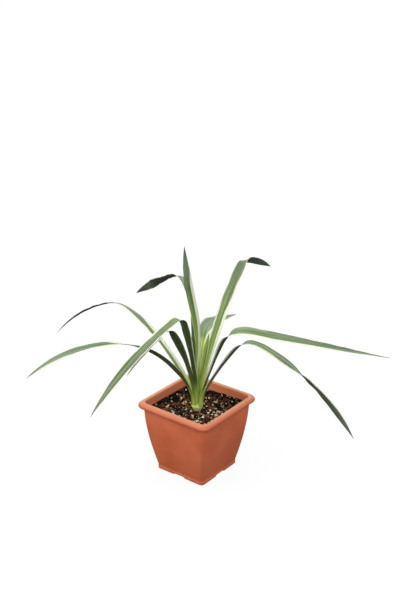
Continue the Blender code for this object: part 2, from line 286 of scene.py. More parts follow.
key_data = bpy.data.lights.new("key_light", "AREA")
key_data.size = KEY_SIZE
key_data.energy = KEY_WATTS
key_data.color = KEY_COLOR
key_light = bpy.data.objects.new("key_light", key_data)
key_light.location = KEY_PLACE
aim = Vector(KEY_TARGET) - Vector(KEY_PLACE)
key_light.rotation_euler = aim.to_track_quat("-Z", "Y").to_euler()
scene.collection.objects.link(key_light)
print("floor", 2 * FLOOR_HALF, "m wide, key light", round(aim.length, 2), "m from the plant")

# %% [markdown]
# ## The pot
# The pot is moulded from one piece of terracotta-coloured plastic. Seen from above it is a square with round
# corners that grow towards the rim. It could be cut from a block, but a moulded wall is the same thickness
# everywhere, so it is made as one outline carried round a rounded square: under the floor, up the outside,
# over the half-round rim and down the inside.

# %% Pot sizes and wall
POT_HEIGHT = 0.130
RIM_HALF = 0.075
RIM_RISE = 0.0065
RIM_DROP = 0.0045
BODY_TOP_HALF = 0.067
BODY_FOOT_HALF = 0.0494
FOOT_HALF = 0.0500
FOOT_HEIGHT = 0.0055
WALL = 0.0022
BELLY = 1.6
FOOT_CORNER = 0.007
BODY_CORNER = 0.011
CORNER_STEPS = 18
SIDE_STEPS = 56
RIM_BOTTOM = POT_HEIGHT - RIM_RISE - RIM_DROP


def rounded_square(half, radius):
    """Points round a square with round corners. half and radius may hold one value for each ring.

    Each quarter is an arc of the radius about (half - radius, half - radius) and then a straight side.
    """
    half = np.atleast_1d(half)[:, None]
    radius = np.atleast_1d(radius)[:, None]
    inner = half - radius
    turn = np.linspace(0.0, np.pi / 2, CORNER_STEPS + 1)[None, :]
    along = np.linspace(1.0, -1.0, SIDE_STEPS + 1)[None, 1:-1]
    x = np.hstack([inner + radius * np.cos(turn), inner * along])
    y = np.hstack([inner + radius * np.sin(turn), half + 0.0 * along])
    return np.concatenate([np.stack(pair, -1) for pair in ((x, y), (-y, x), (-x, -y), (y, -x))], axis=1)


def at_heights(rings, heights):
    """Gives each flat ring of points its height."""
    z = np.broadcast_to(heights[:, None, None], (*rings.shape[:2], 1))
    return np.concatenate([rings, z], axis=-1)


def body_half(z):
    """Half width of the pot's body at height z: it swells quickly above the foot and slowly near the rim."""
    t = np.clip((z - FOOT_HEIGHT) / (RIM_BOTTOM - FOOT_HEIGHT), 0.0, 1.0)
    return BODY_TOP_HALF - (BODY_TOP_HALF - BODY_FOOT_HALF) * (1.0 - t) ** BELLY


def body_corner(z):
    """Corner radius of the pot's body at height z."""
    return FOOT_CORNER + (BODY_CORNER - FOOT_CORNER) * z / POT_HEIGHT


print("body half width in mm:", [round(1000 * float(body_half(z)), 1) for z in (0.01, 0.05, 0.10)])

# %% [markdown]
# The outline is a list of half widths and heights. Its round stretches are parts of ellipses: the small
# rounds of the foot, which keep its edges from looking knife-sharp, and the large round of the rim.

# %% Outline of the pot
FLOOR_UNDERSIDE = 0.0034
RIM_CORNER = 0.014
EDGE_ROUND = 0.0005
UNDERSIDE_ROWS = 12


def arc(half, z, width, rise, start, end, steps):
    """Part of an ellipse in the pot's outline, about (half, z), with its angles in degrees."""
    a = np.radians(np.linspace(start, end, steps))
    return np.column_stack([half + width * np.cos(a), z + rise * np.sin(a)])


def pot_outline():
    """The pot's outline as half widths, corner radii and heights, from under its floor to on top of it.

    The rim is half an ellipse that stands out from the body, with its ridge over the body's outer face. Its
    upper quarter is taller than its lower one. From the ridge a round as wide as the wall leads inwards.
    The first rows, under the pot, keep a tighter corner, so that they stay inside the foot.
    """
    e = EDGE_ROUND
    foot_inner = FOOT_HALF - WALL - e
    rim_width = RIM_HALF - BODY_TOP_HALF
    levels = np.linspace(FOOT_HEIGHT + 2.5 * e, RIM_BOTTOM, 40)
    outer = np.vstack([
        [(foot_inner - 6 * e, FLOOR_UNDERSIDE), (foot_inner - 2 * e, FLOOR_UNDERSIDE)],
        arc(foot_inner - 2 * e, FLOOR_UNDERSIDE - e, e, e, 90, 0, 4),
        arc(foot_inner, e, e, e, 180, 270, 5),
        arc(FOOT_HALF - e, e, e, e, -90, 0, 5),
        [(FOOT_HALF, FOOT_HEIGHT - 1.5 * e)],
        arc(FOOT_HALF - e, FOOT_HEIGHT - e, e, e, 0, 70, 4),
        np.column_stack([body_half(levels), levels]),
        arc(BODY_TOP_HALF, POT_HEIGHT - RIM_RISE, rim_width, RIM_DROP, -90, 0, 14)[1:],
        arc(BODY_TOP_HALF, POT_HEIGHT - RIM_RISE, rim_width, RIM_RISE, 0, 90, 18)[1:],
    ])
    down = levels[::-1]
    floor_top = FLOOR_UNDERSIDE + WALL
    inner = np.vstack([
        arc(BODY_TOP_HALF, POT_HEIGHT - WALL, WALL, WALL, 90, 180, 9)[1:],
        np.column_stack([body_half(down) - WALL, down]),
        arc(body_half(floor_top) - WALL - 2 * e, floor_top + 2 * e, 2 * e, 2 * e, 0, -90, 5),
    ])
    outline = np.vstack([outer, inner])
    half, z = outline.T
    corner = body_corner(z)
    rim = np.clip((half - BODY_TOP_HALF) / rim_width, 0.0, 1.0)
    corner = corner + (RIM_CORNER - corner) * rim
    inside = np.arange(len(outline)) >= len(outer)
    corner = np.where(inside, corner - np.minimum(WALL, np.abs(BODY_TOP_HALF - half)), corner)
    corner[:UNDERSIDE_ROWS] = np.minimum(corner[:UNDERSIDE_ROWS], FOOT_CORNER - WALL / 2)
    return half, corner, z, inside


half, corner, z, inside = pot_outline()
print("the outline has", len(half), "points,", int(inside.sum()), "of them inside the pot")

# %% [markdown]
# The foot has a shallow notch in the middle of each side, so that water can run out from under the pot. It
# could be cut out, but lifting the foot's lower edge there gives the same shape and leaves the mesh even.

# %% Foot notches and pot mesh
NOTCH_HALF = 0.012
NOTCH_SLOPE = 0.0025
NOTCH_HEIGHT = 0.0026


def notch(points):
    """How far the foot's lower edge is lifted: a flat-topped rise in the middle of each side."""
    aside = np.abs(points[..., :2]).min(axis=-1)
    return NOTCH_HEIGHT * (1.0 - ease((aside - NOTCH_HALF + NOTCH_SLOPE) / NOTCH_SLOPE))


pot_points = at_heights(rounded_square(half, corner), z)
low = np.where(z < FLOOR_UNDERSIDE, np.clip(1.0 - z / NOTCH_HEIGHT, 0.0, 1.0), 0.0)[:, None]
pot_points[..., 2] += notch(pot_points) * low
pot_mesh = tube_mesh("pot", pot_points, (0.0, 0.0, FLOOR_UNDERSIDE), (0.0, 0.0, FLOOR_UNDERSIDE + WALL))
store(pot_mesh, "inside", np.append(np.repeat(inside, pot_points.shape[1]), [0.0, 1.0]))
print("pot mesh:", pot_points.shape[0], "rings of", pot_points.shape[1], "points")

# %% [markdown]
# Water leaves through five round holes in the floor. They are cut with a Boolean, because a round hole
# doesn't follow the square rings of the pot. The cut is worked out once, and its rods are thrown away.

# %% Drain holes
DRAIN_RADIUS = 0.004
DRAIN_SPREAD = 0.024
DRAIN_SIDES = 32


def rod_mesh(x, y):
    """A short upright rod through the floor, made of two circles about (x, y)."""
    a = np.linspace(0.0, 2 * np.pi, DRAIN_SIDES, endpoint=False)
    circle = np.column_stack([x + DRAIN_RADIUS * np.cos(a), y + DRAIN_RADIUS * np.sin(a)])
    bottom = FLOOR_UNDERSIDE - 1.5 * WALL
    rings = at_heights(np.stack([circle, circle]), np.array([bottom, bottom + 4 * WALL]))
    return tube_mesh("rod", rings, rings[0].mean(axis=0), rings[1].mean(axis=0), smooth=False)


def cut(mesh, tools):
    """The mesh that is left when tools are taken away from it."""
    body, *rods = [bpy.data.objects.new("uncut", shape) for shape in (mesh, *tools)]
    scene.collection.objects.link(body)
    for rod in rods:
        scene.collection.objects.link(rod)
        modifier = body.modifiers.new("hole", "BOOLEAN")
        modifier.operation = "DIFFERENCE"
        modifier.solver = "EXACT"
        modifier.object = rod
    depsgraph = bpy.context.evaluated_depsgraph_get()
    result = bpy.data.meshes.new_from_object(body.evaluated_get(depsgraph))
    for thing in (body, *rods):
        bpy.data.objects.remove(thing, do_unlink=True)
    return result


a = np.pi / 4 + np.arange(4) * np.pi / 2
drains = [(0.0, 0.0), *zip(DRAIN_SPREAD * np.cos(a), DRAIN_SPREAD * np.sin(a))]
pot_mesh = cut(pot_mesh, [rod_mesh(x, y) for x, y in drains])
print("pot volume in cm3:", round(signed_volume(pot_mesh) * 1e6, 1))

# %% [markdown]
# The plastic is dyed through, a little blotchy, and satin rather than glossy.
# The walls carry a painted shade that darkens them towards the foot.
# The whole rim is painted darker as painted shade, with a painted highlight along its ridge. The lowest
# centimetre is dusty. On the inner wall wet soil has left a darker line, and above it the wall is painted
# lighter as painted light.

# %% Terracotta-coloured plastic
DUST_TOP = 0.016
STAIN_HEIGHT = 0.1095
STAIN_WANDER = 0.005
STAIN_EDGE = 0.0015
# Heights where the painted light on the inner wall begins and where it is full
PAINTED_LIGHT_FROM = 0.112
PAINTED_LIGHT_TO = 0.117

pot_material, tree, shader = new_material("terracotta_plastic")
place = add(tree, "TexCoord", output="Object")
height = add(tree, "SeparateXYZ", output=2, Vector=place)
cloudy = step(tree, noise(tree, place, 16.0, 3.0), 0.30, 0.70)
grains = step(tree, noise(tree, place, 900.0, 2.0), 0.35, 0.72)
# painted shade: the lower tone is darker, so the walls darken towards the foot
lower_tone = mix(tree, cloudy, screen(210, 101, 58), screen(224, 114, 72))
upper_tone = mix(tree, cloudy, screen(226, 113, 72), screen(242, 130, 92))
color = mix(tree, step(tree, height, 0.0, 0.115), lower_tone, upper_tone)
color = mix(tree, times(tree, grains, 0.10), color, screen(240, 160, 118))
# painted shade: the whole rim is painted darker
rim_painted_shade = step(tree, height, RIM_BOTTOM, RIM_BOTTOM + 0.002)
color = mix(tree, times(tree, rim_painted_shade, 0.55), color, screen(190, 98, 56))
# painted highlight: a pale band along the rim's ridge
rim_painted_highlight = step(tree, height, POT_HEIGHT - 0.0022, POT_HEIGHT - 0.0002)
color = mix(tree, times(tree, rim_painted_highlight, 0.5), color, screen(222, 160, 122))
dusty = step(tree, noise(tree, place, 160.0, 4.0), 0.40, 0.75)
dust = times(tree, step(tree, height, DUST_TOP, 0.0), dusty)
color = mix(tree, times(tree, dust, 0.4), color, screen(120, 84, 62))
wander = times(tree, noise(tree, place, 90.0, 3.0), STAIN_WANDER)
inner_wall = read(tree, "inside")
above_line = math(tree, "SUBTRACT", height, plus(tree, STAIN_HEIGHT, wander))
wetted = step(tree, above_line, STAIN_EDGE, 0.0)
stain = times(tree, inner_wall, wetted)
color = mix(tree, times(tree, stain, 0.2), color, screen(92, 52, 36))
# painted light: the inner wall above the soil is painted lighter
inner_wall_painted_light = times(tree, inner_wall, step(tree, height, PAINTED_LIGHT_FROM, PAINTED_LIGHT_TO))
color = mix(tree, times(tree, inner_wall_painted_light, 0.35), color, screen(246, 168, 122))
rough = plus(tree, plus(tree, 0.36, times(tree, cloudy, 0.08)), times(tree, dust, 0.3))
join(tree, shader, Base_Color=color, Roughness=rough)
bump(tree, shader, noise(tree, place, 700.0, 3.0), 0.00005)
put_in("pot_shell", pot_mesh, "terracotta_plastic", pot_material, "pot")

# %% [markdown]
# ## The soil
# Potting soil is a mix: dark peat, bark, and light grains of perlite and grit that keep it open. A picture of
# soil on a flat disc would look flat, so the top is an uneven surface with thousands of real crumbs on it.
# Watering has washed it into a shallow dish, and it lies a little lower at the back corner than at the front.

# %% Height of the soil
SOIL_LEVEL = 0.110
SOIL_EDGE_LEVEL = 0.1150
SOIL_MIDDLE_DIP = 0.0012
SOIL_BACK_DIP = 0.0034
SOIL_REACH = 0.0645
NOISE_CELLS = 64
# Three sizes of bumps: how high they are, how far apart and their seed
SOIL_BUMPS = ((0.0024, 0.011, 3), (0.0016, 0.0045, 4), (0.0009, 0.0020, 5))


def value_noise(x, y, cell, seed):
    """Smooth random heights from 0 to 1: random numbers on a grid of cells, blended with eased weights."""
    table = np.random.default_rng(seed).random((NOISE_CELLS, NOISE_CELLS))
    gx, gy = x / cell + NOISE_CELLS / 2, y / cell + NOISE_CELLS / 2
    ix, iy = np.floor(gx).astype(int), np.floor(gy).astype(int)
    fx, fy = ease(gx - ix), ease(gy - iy)
    ix, iy = ix % (NOISE_CELLS - 1), iy % (NOISE_CELLS - 1)
    low_row = table[iy, ix] * (1 - fx) + table[iy, ix + 1] * fx
    high_row = table[iy + 1, ix] * (1 - fx) + table[iy + 1, ix + 1] * fx
    return low_row * (1 - fy) + high_row * fy


def soil_height(x, y):
    """Height of the soil: a shallow dish, deepest in its middle, lower at its back corner, plus bumps."""
    reach = ((x / SOIL_REACH) ** 4 + (y / SOIL_REACH) ** 4) ** 0.25
    back = np.clip((y - x) / (2 * SOIL_REACH), 0.0, 1.0)
    bumps = sum(height * value_noise(x, y, cell, seed) for height, cell, seed in SOIL_BUMPS)
    rise = (SOIL_EDGE_LEVEL - SOIL_LEVEL) - SOIL_BACK_DIP * back
    return SOIL_LEVEL - SOIL_MIDDLE_DIP + rise * np.clip(reach, 0.0, 1.0) + bumps


x = np.array([0.055, 0.0, -0.055])
print("soil height in mm at the front, middle and back:", (1000 * soil_height(x, -x)).round(1).tolist())

# %% [markdown]
# The soil is a profile carried round the stem: up the hole that holds the stem, out to the pot's wall over
# the bumps, and down inside the wall. Its outer rings follow the rounded square of the pot, its inner ones
# the round hole, and the rings between are a blend of both. It stays a hair clear of the wall and the stem.

# %% Soil mesh
GAP = 0.0003
STEM_X = 0.005
STEM_Y = -0.0055
STEM_RADIUS = 0.006
STEM_DEPTH = 0.050
SOIL_STEPS = 110
SIDE_DROP = 0.004
SIDE_RINGS = 24


def wall_half(z):
    """Half width of the pot's inside at height z."""
    return body_half(z) - WALL


outer = rounded_square(wall_half(SOIL_EDGE_LEVEL) - GAP, body_corner(SOIL_EDGE_LEVEL) - WALL - GAP)[0]
facing = np.arctan2(outer[:, 1] - STEM_Y, outer[:, 0] - STEM_X)
around = np.column_stack([np.cos(facing), np.sin(facing)])
hole = np.array([STEM_X, STEM_Y]) + around * (STEM_RADIUS + GAP)
share = np.linspace(0.0, 1.0, SOIL_STEPS)[:, None, None]
top = hole + (outer - hole) * share
top = np.concatenate([top, soil_height(top[..., 0], top[..., 1])[..., None]], axis=-1)
soil_bottom = FLOOR_UNDERSIDE + WALL + 2 * GAP
sides = np.linspace(SOIL_EDGE_LEVEL - SOIL_BACK_DIP - SIDE_DROP, soil_bottom, SIDE_RINGS)
side_rings = at_heights(rounded_square(wall_half(sides) - GAP, body_corner(sides) - WALL - GAP), sides)
hole_bottom = np.array([SOIL_LEVEL - STEM_DEPTH - GAP])
soil_points = np.concatenate([at_heights(hole[None], hole_bottom), top, side_rings])
soil_mesh = tube_mesh("soil", soil_points, (STEM_X, STEM_Y, hole_bottom[0]), (0.0, 0.0, soil_bottom))
print("soil volume in cm3:", round(signed_volume(soil_mesh) * 1e6, 1))

# %% [markdown]
# Moist peat is nearly black, with brown fibres in it, and hardly shines. Two sizes of random lumps give it
# its tones, and a bump breaks up its surface more finely than its points could.

# %% Dark peat
soil_material, tree, shader = new_material("potting_soil")
place = add(tree, "TexCoord", output="Object")
lumps = step(tree, noise(tree, place, 260.0, 4.0), 0.35, 0.68)
fibres = step(tree, noise(tree, place, 1500.0, 3.0), 0.40, 0.66)
color = mix(tree, lumps, screen(7, 6, 4), screen(30, 24, 16))
color = mix(tree, times(tree, fibres, 0.35), color, screen(66, 52, 34))
join(tree, shader, Base_Color=color, Roughness=0.95, Specular_IOR_Level=0.2)
bump(tree, shader, noise(tree, place, 1100.0, 5.0, 0.65), 0.0006)
put_in("soil_bed", soil_mesh, "potting_soil", soil_material, "soil")

# %% [markdown]
# ## Bark, crumbs, perlite and grit
# Each loose bit is a small ball of a few dozen faces. Its points are pushed in and out at random, it is
# stretched along three axes of its own, turned at random and pressed into the soil's surface. All bits are
# worked out together as arrays, which is far quicker than thousands of objects.

# %% One loose bit
BIT_RINGS = 3
BIT_COLUMNS = 6


def bit_ball():
    """Points and faces of a ball: rings at the angle b above its middle, columns at the angle a."""
    b = np.pi * (np.arange(1, BIT_RINGS + 1) / (BIT_RINGS + 1) - 0.5)
    a = 2 * np.pi * np.arange(BIT_COLUMNS) / BIT_COLUMNS
    b, a = np.meshgrid(b, a, indexing="ij")
    rings = np.stack([np.cos(b) * np.cos(a), np.cos(b) * np.sin(a), np.sin(b)], axis=-1).reshape(-1, 3)
    points = np.vstack([rings, [(0, 0, -1)], [(0, 0, 1)]])
    quads = grid_faces(BIT_RINGS, BIT_COLUMNS)
    count = BIT_RINGS * BIT_COLUMNS
    halves = np.vstack([quads[:, [0, 1, 2]], quads[:, [0, 2, 3]]])
    lower = fan_faces(np.arange(BIT_COLUMNS)[::-1], count)
    upper = fan_faces(np.arange(count - BIT_COLUMNS, count), count + 1)
    return points, np.vstack([halves, lower, upper])


def random_turns(rng, count):
    """Random rotations: each is the matrix of a random unit quaternion (w, x, y, z)."""
    q = rng.normal(size=(count, 4))
    w, x, y, z = (q / np.linalg.norm(q, axis=1, keepdims=True)).T
    rows = [
        [1 - 2 * (y * y + z * z), 2 * (x * y - w * z), 2 * (x * z + w * y)],
        [2 * (x * y + w * z), 1 - 2 * (x * x + z * z), 2 * (y * z - w * x)],
        [2 * (x * z - w * y), 2 * (y * z + w * x), 1 - 2 * (x * x + y * y)],
    ]
    return np.array(rows).transpose(2, 0, 1)


print("one bit has", len(bit_ball()[0]), "points and", len(bit_ball()[1]), "faces")

# %% [markdown]
# The table tells how many there are of a kind, their smallest and largest size, how far they are stretched,
# how uneven their shape is, how deep they are sunk and their seed. The lower crowd is, the more of them lie
# towards the front corner. Last come their darkest and lightest colour, roughness and depth of bump.

# %% Four kinds of bits
Bits = namedtuple("Bits", "count small large stretch uneven sink seed crowd dark light roughness depth")
BITS = {
    "bark_chips": Bits(
        230, 0.0040, 0.0095, 1.8, 0.25, 0.30, 11, 0.85, screen(12, 8, 5), screen(132, 84, 48), 0.8, 0.0004
    ),
    "peat_crumbs": Bits(
        2600, 0.0016, 0.0046, 1.3, 0.30, 0.20, 12, 0.95, screen(4, 3, 2), screen(32, 24, 14), 0.95, 0.0003
    ),
    "tan_grit": Bits(
        320, 0.0016, 0.0044, 1.3, 0.22, 0.06, 13, 0.66, screen(128, 80, 40), screen(246, 202, 136), 0.8,
        0.0002,
    ),
    "perlite": Bits(
        230, 0.0018, 0.0052, 1.2, 0.22, 0.04, 14, 0.66, screen(206, 192, 150), screen(253, 248, 228), 0.9,
        0.0002,
    ),
}
print(sum(bits.count for bits in BITS.values()), "bits of", len(BITS), "kinds")

# %% [markdown]
# All bits of a kind are one mesh. Most of them are small, and random numbers place them. None may stand in
# the stem, so a bit that does is pushed aside. Each bit keeps a random tint for its finish.

# %% Bits in the soil
# The range of a bit's second and third axis, as shares of its size
BIT_MIDDLE = (0.7, 1.1)
BIT_FLAT = (0.5, 0.9)


def bits_mesh(name, bits):
    """All loose bits of a kind in one mesh, spread over the soil and pushed clear of the stem."""
    rng = np.random.default_rng(bits.seed)
    count = bits.count
    ball, faces = bit_ball()
    size = bits.small + (bits.large - bits.small) * rng.random(count) ** 2
    room = wall_half(SOIL_EDGE_LEVEL) - GAP - size * bits.stretch
    x = (2 * rng.random(count) ** bits.crowd - 1) * room
    y = (1 - 2 * rng.random(count) ** bits.crowd) * room
    away = np.hypot(x - STEM_X, y - STEM_Y)
    push = np.maximum(STEM_RADIUS + size * bits.stretch + GAP, away) / away
    x, y = STEM_X + (x - STEM_X) * push, STEM_Y + (y - STEM_Y) * push
    shape = ball * (1 + bits.uneven * rng.uniform(-1, 1, (count, len(ball), 1)))
    axes = [rng.uniform(low, high, count) for low, high in ((1, bits.stretch), BIT_MIDDLE, BIT_FLAT)]
    shape = shape * (np.column_stack(axes) * size[:, None] / 2)[:, None, :]
    shape = np.einsum("nij,npj->npi", random_turns(rng, count), shape)
    shape += np.column_stack([x, y, soil_height(x, y) + size * (0.5 - bits.sink)])[:, None, :]
    mesh = bpy.data.meshes.new(name)
    every = (faces[None] + (np.arange(count) * len(ball))[:, None, None]).reshape(-1, 3)
    mesh.from_pydata(shape.reshape(-1, 3).tolist(), [], every.tolist())
    store(mesh, "tint", np.repeat(rng.random(count) ** 1.6, len(ball)))
    return mesh


def bits_material(name, bits):
    """A finish for loose bits: each has its own shade between two colours, with finer spots on it."""
    material, tree, shader = new_material(name)
    place = add(tree, "TexCoord", output="Object")
    spots = step(tree, noise(tree, place, 1300.0, 3.0), 0.35, 0.68)
    own = times(tree, read(tree, "tint"), 0.75)
    share = plus(tree, own, times(tree, spots, 0.25))
    color = mix(tree, share, bits.dark, bits.light)
    join(tree, shader, Base_Color=color, Roughness=bits.roughness, Specular_IOR_Level=0.2)
    bump(tree, shader, noise(tree, place, 1600.0, 3.0), bits.depth)
    return material


for name, bits in BITS.items():
    put_in(name, bits_mesh(name, bits), "potting_soil", bits_material(name, bits))

# %% [markdown]
# ## The stem
# The stem of a young yucca is short and pale, hardly more than the place where the leaf bases meet. It is a
# turned shape: a profile of radius against height, carried round the stem's axis. Hidden between the leaves
# it narrows in six small steps, one inside each ring of leaf bases.

# %% Stem shape
RINGS = 6
RING_RADIUS = 0.0026
RING_PITCH = 0.00138
RING_START = 0.012
RING_STEP = 0.0025
THICKNESS = 0.0008
FACET_GAP = 0.00015
STEM_COLUMNS = 72
STEM_END_ROUND = 0.002
STEM_TOP_RISE = 0.001


def ring_radius(ring):
    """Distance from the stem's axis to the middle of the leaf bases in a ring."""
    return RING_RADIUS + RING_PITCH * (ring - 1)


def ring_height(ring):
    """Height where the leaves of a ring start: inner rings start higher on the stem."""
    return SOIL_LEVEL + RING_START + RING_STEP * (RINGS - ring)


def stem_profile():
    """Radius and height of the stem, from its lower end up to the step inside the innermost leaf.

    Above the soil it swells to the outermost ring of leaves, and inside each ring it steps in and up.
    """
    top = ring_height(RINGS) - GAP
    swell = ring_radius(RINGS) + THICKNESS / 2
    bottom = SOIL_LEVEL - STEM_DEPTH
    buried = [(STEM_RADIUS - STEM_END_ROUND, bottom), (STEM_RADIUS, bottom + STEM_END_ROUND)]
    share = np.linspace(1.0, 0.0, 24)
    radii = swell + (STEM_RADIUS - swell) * ease(share)
    rising = np.column_stack([radii, top + (SOIL_LEVEL - top) * share])
    inset = THICKNESS / 2 + GAP + FACET_GAP
    steps = []
    for ring in range(RINGS - 1, 0, -1):
        core = ring_radius(ring + 1) - inset
        steps += [(core, ring_height(ring + 1) - GAP), (core, ring_height(ring) - GAP)]
    steps += [(ring_radius(1) - inset, ring_height(1) - GAP), (ring_radius(1) - inset, ring_height(1))]
    return np.vstack([buried, rising, steps])


radii, heights = stem_profile().T
turn = np.linspace(0.0, 2 * np.pi, STEM_COLUMNS, endpoint=False)
circles = [STEM_X + radii[:, None] * np.cos(turn), STEM_Y + radii[:, None] * np.sin(turn)]
stem_points = at_heights(np.stack(circles, axis=-1), heights)
lower_end = (STEM_X, STEM_Y, heights[0])
upper_end = (STEM_X, STEM_Y, heights[-1] + STEM_TOP_RISE)
stem_mesh = tube_mesh("stem", stem_points, lower_end, upper_end)
print("stem from", round(1000 * lower_end[2]), "mm to", round(1000 * upper_end[2]), "mm above the ground")

# %% [markdown]
# The skin of the stem is pale cream below and turns a fresh green where the leaves begin. Fine fibres run
# up it: a noise whose lumps are drawn out upwards. A little soil sticks to its foot.

# %% Pale stem skin
stem_material, tree, shader = new_material("stem_skin")
place = add(tree, "TexCoord", output="Object")
height = add(tree, "SeparateXYZ", output=2, Vector=place)
stretched = add(tree, "Mapping", Vector=place, Scale=(1.0, 1.0, 0.08))
fibre = step(tree, noise(tree, stretched, 1400.0, 3.0), 0.35, 0.68)
rise = step(tree, height, SOIL_LEVEL + 0.001, SOIL_LEVEL + 0.016)
color = mix(tree, rise, screen(246, 244, 166), screen(172, 194, 80))
color = mix(tree, times(tree, fibre, 0.35), color, screen(240, 238, 178))
earthy = times(tree, step(tree, height, SOIL_LEVEL + 0.003, SOIL_LEVEL - 0.001), 0.4)
color = mix(tree, earthy, color, screen(130, 108, 62))
join(tree, shader, Base_Color=color, Roughness=0.5)
bump(tree, shader, fibre, 0.0001)
put_in("stem_skin", stem_mesh, "stem_skin", stem_material, "stem")

# %% [markdown]
# ## The leaves
# A yucca leaf is a long stiff strap. At its base it clasps the stem, further out it opens into a shallow
# channel, and it ends in a hard brown point. A leaf could be sculpted, but each is easier to make as a centre
# line that leaves the stem, bends over and twists, with a curved cross-section carried along it. The numbers
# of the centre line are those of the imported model, so the fine leaf lies where the plain one was.

# %% Leaf table
# ring and heading place a leaf on the stem. launch, droop, fold and swerve bend its centre line, and rolls
# twist it.
Leaf = namedtuple("Leaf", "ring heading length width launch droop fold fold_at fold_span swerve rolls")
LEAVES = {
    "leaf_heart": Leaf(1, 32, 0.1235, 0.012, 80.7, 0, 0, 0.5, 0.5, 0, ((0.1, 0), (0.5, 50))),
    "leaf_upright": Leaf(
        2, -168, 0.274, 0.018, 90, -28, 29, 0.477, 0.466, 0, ((0.35, 0), (0.6, -19), (1, -25))
    ),
    "leaf_front_tall": Leaf(
        3, -81.7, 0.4124, 0.0165, 81.3, 55.3, 70, 0.4345, 0.108, -16.7,
        ((0.05, 0), (0.2, -20), (0.34, -1), (0.5, -1.4), (1, -4.6)),
    ),
    "leaf_back_tall": Leaf(
        3, 147.4, 0.506, 0.0186, 87.1, 12.6, 106.4, 0.391, 0.3345, 4.8,
        ((0.15, 0), (0.35, 27), (0.62, 13.5), (0.74, 33), (0.84, 87), (1, 58.5)),
    ),
    "leaf_front_short": Leaf(
        4, -95.7, 0.2655, 0.0145, 77.3, 40.2, 88.9, 0.6235, 0.108, -24.6,
        ((0.05, 0), (0.3, 3), (0.5, 36.5), (0.7, 5), (1, 0)),
    ),
    "leaf_right_tall": Leaf(
        4, 91, 0.347, 0.0205, 66.3, 31, 65, 0.735, 0.06, -1, ((0.68, 0), (0.8, -43), (1, -70))
    ),
    "leaf_left": Leaf(
        5, -121, 0.358, 0.015, 63.6, 69, 26, 0.39, 0.60, 9,
        ((0.08, 0), (0.22, 35), (0.42, 35), (0.49, 21), (0.64, -15), (1, -25)),
    ),
    "leaf_back": Leaf(
        5, 119, 0.356, 0.0255, 59.5, -2, 78, 0.342, 0.33, -16,
        ((0.08, 0), (0.22, -44), (0.45, 32), (0.7, 9), (1, -3)),
    ),
    "leaf_right": Leaf(
        5, 10.7, 0.42, 0.0163, 71.7, 16.5, 70.7, 0.371, 0.196, 40.5,
        ((0, 0), (0.2, -8.4), (0.32, -23.3), (0.4, 40.5), (1, -3.8)),
    ),
    "leaf_back_left": Leaf(
        6, 176, 0.377, 0.014, 52.4, 70, 34, 0.60, 0.15, 34, ((0.45, 0), (0.62, 22))
    ),
    "leaf_front_right": Leaf(
        6, 9.9, 0.396, 0.0161, 63.7, 50.3, 65.5, 0.411, 0.166, -10,
        ((0, 0), (0.08, -7), (0.35, -19), (0.41, 4), (0.59, 11), (0.73, -58.5), (1, -118.5)),
    ),
}
print(len(LEAVES), "leaves, the longest", max(round(1000 * leaf.length) for leaf in LEAVES.values()), "mm")

# %% [markdown]
# No two leaves are striped alike. This table says how far the green of a leaf reaches towards its left and
# its right margin, as pairs of place along the leaf and share of the half width. The last column, as pairs of
# place and amount, is a pale bloom, partly the leaf's own wax and partly a painted sheen where the leaf bends
# towards the sky; where it is below 0 the green is painted livelier, as painted light on parts in shade.

